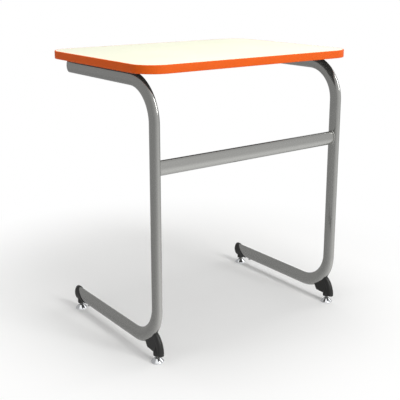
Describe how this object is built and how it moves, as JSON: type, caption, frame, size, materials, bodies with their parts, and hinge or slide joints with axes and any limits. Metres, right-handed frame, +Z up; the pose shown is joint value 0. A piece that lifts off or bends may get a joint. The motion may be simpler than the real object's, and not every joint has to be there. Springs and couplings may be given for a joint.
{
  "type": "cantilever student desk",
  "caption": "Laminate desk top with a bright edge band on two C-shaped oval-tube frames joined by a crossbar, standing on screw-adjustable swivel glides.",
  "frame": {"origin": "on the floor, under the middle of the desk top", "axes": "+X to the right as seen from the posts' side, -Y towards the posts, +Y towards the sitter, +Z up"},
  "size_m": [0.686, 0.5, 0.753],
  "materials": {
    "ivory_laminate": "fine matte-satin high-pressure laminate, off-white",
    "orange_edge_band": "moulded edge band, satin",
    "particleboard_core": "bare pressed board",
    "backing_sheet": "plain backing sheet, matte",
    "frame_enamel": "metallic grey powder coat, semi-gloss",
    "black_plastic": "moulded, fine texture",
    "zinc_screw": "bright zinc plate",
    "zinc_stem": "bright zinc plate on rolled thread",
    "brass_insert": "turned",
    "black_rubber": "matte",
    "glide_chrome": "bright nickel-chrome plate",
    "nylon_pad": "smooth nylon"
  },
  "bodies": {
    "desk": {"top_core": "particleboard_core", "top_laminate": "ivory_laminate", "top_backer": "backing_sheet", "edge_band": "orange_edge_band", "left_frame_tube": "frame_enamel", "right_frame_tube": "frame_enamel", "crossbar": "frame_enamel", "left_welds": "frame_enamel", "right_welds": "frame_enamel", "left_top_tabs": "frame_enamel", "right_top_tabs": "frame_enamel", "left_top_screws": "zinc_screw", "right_top_screws": "zinc_screw", "left_arm_plug": "black_plastic", "right_arm_plug": "black_plastic", "left_heel_foot": "black_plastic", "right_heel_foot": "black_plastic", "left_heel_foot_screw": "zinc_screw", "right_heel_foot_screw": "zinc_screw", "left_toe_boot": "black_plastic", "right_toe_boot": "black_plastic", "left_toe_boot_screw": "zinc_screw", "right_toe_boot_screw": "zinc_screw", "left_heel_glide_insert": "brass_insert", "right_heel_glide_insert": "brass_insert", "left_toe_glide_insert": "brass_insert", "right_toe_glide_insert": "brass_insert"},
    "left_heel_glide_carrier": {"left_heel_glide_cushion": "black_rubber"},
    "left_heel_glide_screw": {"left_heel_glide_stem": "zinc_stem"},
    "left_heel_glide_foot": {"left_heel_glide_base": "glide_chrome", "left_heel_glide_pad": "nylon_pad"},
    "right_heel_glide_carrier": {"right_heel_glide_cushion": "black_rubber"},
    "right_heel_glide_screw": {"right_heel_glide_stem": "zinc_stem"},
    "right_heel_glide_foot": {"right_heel_glide_base": "glide_chrome", "right_heel_glide_pad": "nylon_pad"},
    "left_toe_glide_carrier": {"left_toe_glide_cushion": "black_rubber"},
    "left_toe_glide_screw": {"left_toe_glide_stem": "zinc_stem"},
    "left_toe_glide_foot": {"left_toe_glide_base": "glide_chrome", "left_toe_glide_pad": "nylon_pad"},
    "right_toe_glide_carrier": {"right_toe_glide_cushion": "black_rubber"},
    "right_toe_glide_screw": {"right_toe_glide_stem": "zinc_stem"},
    "right_toe_glide_foot": {"right_toe_glide_base": "glide_chrome", "right_toe_glide_pad": "nylon_pad"}
  },
  "joints": [
    {"name": "left_heel_glide_height", "type": "slide", "parent": "desk", "child": "left_heel_glide_carrier", "axis": [0, 0, -1], "range_m": [0, 0.012]},
    {"name": "left_heel_glide_turn", "type": "hinge", "parent": "left_heel_glide_carrier", "child": "left_heel_glide_screw", "pos_m": [-0.305, -0.2245, 0.007], "axis": [0, 0, -1], "range_deg": [0, 3456]},
    {"name": "left_heel_glide_tilt", "type": "hinge", "parent": "left_heel_glide_carrier", "child": "left_heel_glide_foot", "pos_m": [-0.305, -0.2245, 0.007], "axis": [1, 0, 0], "range_deg": [-8, 8]},
    {"name": "right_heel_glide_height", "type": "slide", "parent": "desk", "child": "right_heel_glide_carrier", "axis": [0, 0, -1], "range_m": [0, 0.012]},
    {"name": "right_heel_glide_turn", "type": "hinge", "parent": "right_heel_glide_carrier", "child": "right_heel_glide_screw", "pos_m": [0.305, -0.2245, 0.007], "axis": [0, 0, -1], "range_deg": [0, 3456]},
    {"name": "right_heel_glide_tilt", "type": "hinge", "parent": "right_heel_glide_carrier", "child": "right_heel_glide_foot", "pos_m": [0.305, -0.2245, 0.007], "axis": [1, 0, 0], "range_deg": [-8, 8]},
    {"name": "left_toe_glide_height", "type": "slide", "parent": "desk", "child": "left_toe_glide_carrier", "axis": [0, 0, -1], "range_m": [0, 0.012]},
    {"name": "left_toe_glide_turn", "type": "hinge", "parent": "left_toe_glide_carrier", "child": "left_toe_glide_screw", "pos_m": [-0.305, 0.178, 0.007], "axis": [0, 0, -1], "range_deg": [0, 3456]},
    {"name": "left_toe_glide_tilt", "type": "hinge", "parent": "left_toe_glide_carrier", "child": "left_toe_glide_foot", "pos_m": [-0.305, 0.178, 0.007], "axis": [1, 0, 0], "range_deg": [-8, 8]},
    {"name": "right_toe_glide_height", "type": "slide", "parent": "desk", "child": "right_toe_glide_carrier", "axis": [0, 0, -1], "range_m": [0, 0.012]},
    {"name": "right_toe_glide_turn", "type": "hinge", "parent": "right_toe_glide_carrier", "child": "right_toe_glide_screw", "pos_m": [0.305, 0.178, 0.007], "axis": [0, 0, -1], "range_deg": [0, 3456]},
    {"name": "right_toe_glide_tilt", "type": "hinge", "parent": "right_toe_glide_carrier", "child": "right_toe_glide_foot", "pos_m": [0.305, 0.178, 0.007], "axis": [1, 0, 0], "range_deg": [-8, 8]}
  ],
  "couplings": [
    {"joint": "left_heel_glide_turn", "follows": "left_heel_glide_height", "rad_per_m": 5026.5},
    {"joint": "right_heel_glide_turn", "follows": "right_heel_glide_height", "rad_per_m": 5026.5},
    {"joint": "left_toe_glide_turn", "follows": "left_toe_glide_height", "rad_per_m": 5026.5},
    {"joint": "right_toe_glide_turn", "follows": "right_toe_glide_height", "rad_per_m": 5026.5}
  ]
}
